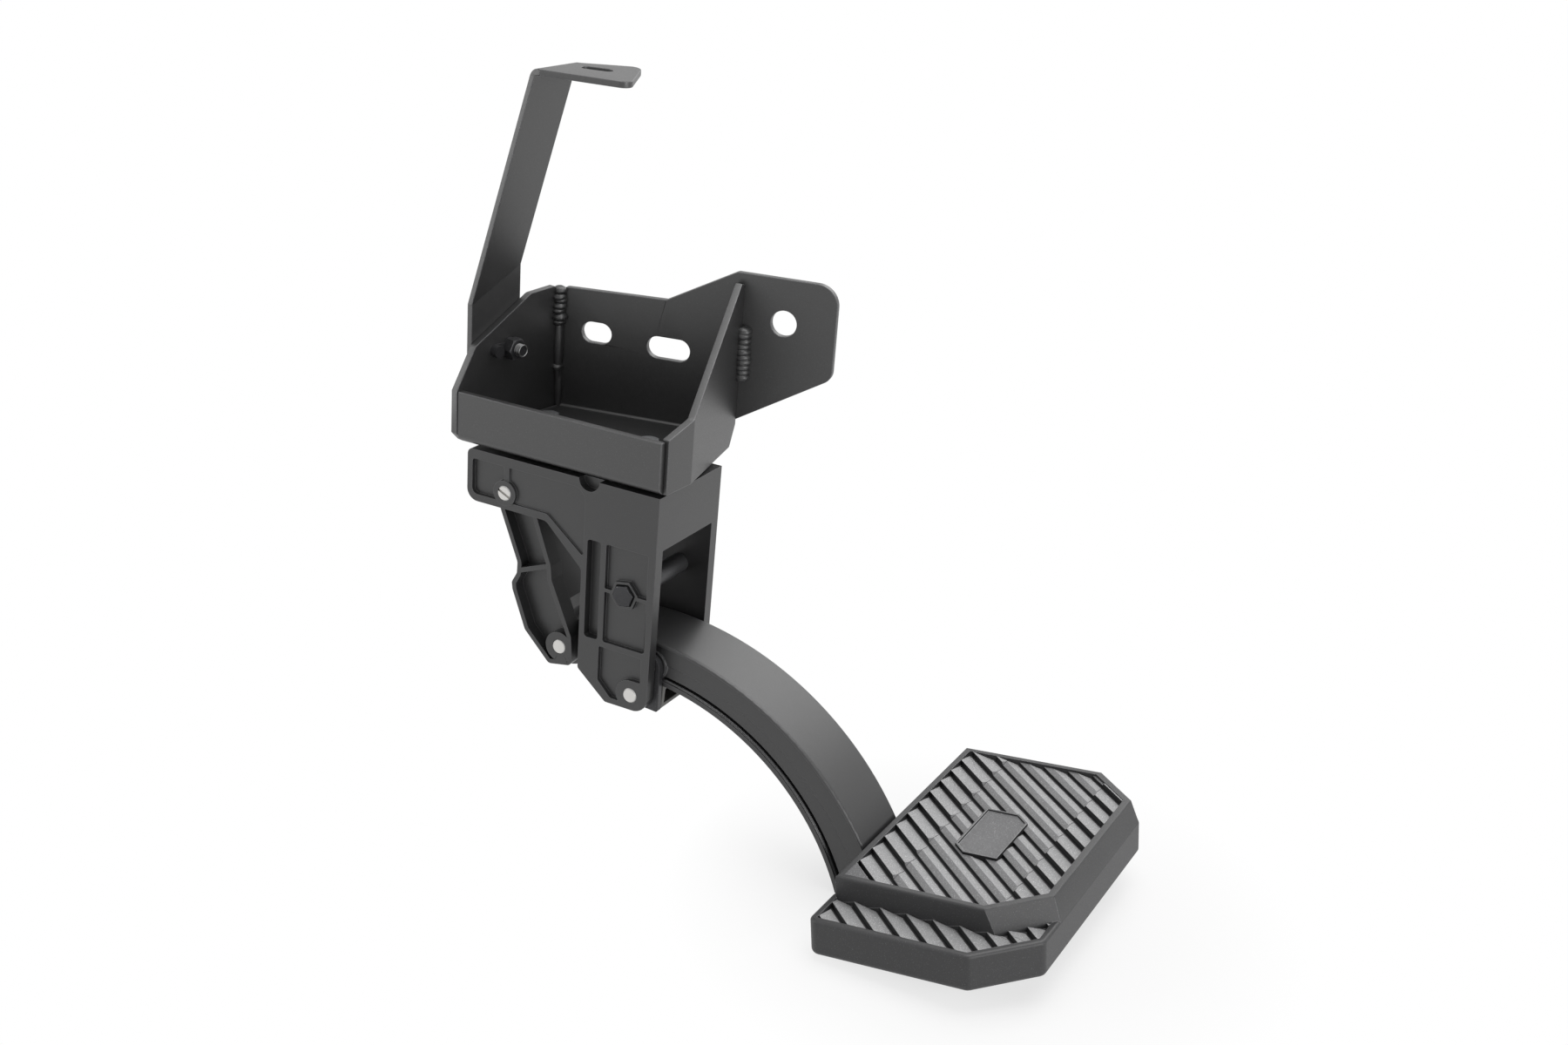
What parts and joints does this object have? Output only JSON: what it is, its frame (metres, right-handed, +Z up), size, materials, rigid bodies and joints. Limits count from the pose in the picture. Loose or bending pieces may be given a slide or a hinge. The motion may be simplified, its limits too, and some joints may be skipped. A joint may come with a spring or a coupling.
{
  "type": "truck bed side step",
  "caption": "Folding side step for a pickup bed: a ribbed foot pad on a curved arm that swings on a linkage in a cast housing under a folded sheet bracket.",
  "frame": {"origin": "centre of the round hole in the back plate, on the front face of the plate", "axes": "+X points outboard, from the housing to the foot pad; +Y points from the near side in the picture to the back plate, along the pivot pins; +Z points up"},
  "size_m": [0.4462, 0.227, 0.472],
  "materials": {
    "black_steel": "matte black powder coat, fine texture",
    "black_weld": "matte black powder coat over a rippled weld",
    "black_casting": "die cast, matte black powder coat",
    "dark_casting": "cast, dark grey with worn grey faces",
    "pad_casting": "die cast, dark grey powder coat with a coarse grain",
    "zinc_steel": "dull zinc plate",
    "bare_steel": "bright turned steel",
    "dark_steel": "black oxide, satin",
    "bush_brass": "sintered bronze, dull"
  },
  "bodies": {
    "bracket": {"frame_plate": "black_steel", "left_wall": "black_steel", "right_wall": "black_steel", "weld_beads": "black_weld", "top_strap": "black_steel", "strap_bolt": "zinc_steel", "strap_washer": "zinc_steel", "strap_nut": "zinc_steel", "housing": "black_casting", "housing_bolts": "zinc_steel", "housing_washers": "zinc_steel", "housing_spacers": "zinc_steel", "stop_bolt": "zinc_steel", "stop_sleeve": "bare_steel", "stop_nut": "zinc_steel", "rear_pivot_screw": "bare_steel", "rear_pivot_nut": "zinc_steel", "front_pin_near": "bare_steel", "front_pin_far": "bare_steel"},
    "rear_link": {"rear_link": "black_casting", "rear_link_bushes": "bush_brass", "tail_pin": "bare_steel"},
    "front_link": {"front_link_near": "dark_steel", "front_link_far": "dark_steel", "arm_pin": "bare_steel"},
    "arm": {"step_arm": "black_casting", "arm_bush": "bush_brass", "stop_shoe": "dark_casting", "shoe_screws": "dark_steel", "step_pad": "pad_casting", "pad_bolts": "dark_steel"}
  },
  "joints": [
    {"name": "front_pivot", "type": "hinge", "parent": "bracket", "child": "front_link", "pos_m": [-0.02851, -0.08028, -0.2238], "axis": [0, 1, 0], "range_deg": [0, 178.8]},
    {"name": "arm_pivot", "type": "hinge", "parent": "front_link", "child": "arm", "pos_m": [-0.02101, -0.08028, -0.2048], "axis": [0, 1, 0], "range_deg": [-96.8, 0]},
    {"name": "rear_pivot", "type": "hinge", "parent": "bracket", "child": "rear_link", "pos_m": [-0.12751, -0.08028, -0.1108], "axis": [0, 1, 0], "range_deg": [-30.4, 0]}
  ],
  "couplings": [
    {"joint": "arm_pivot", "follows": "front_pivot", "ratio": -0.5413},
    {"joint": "rear_pivot", "follows": "front_pivot", "ratio": -0.17}
  ]
}
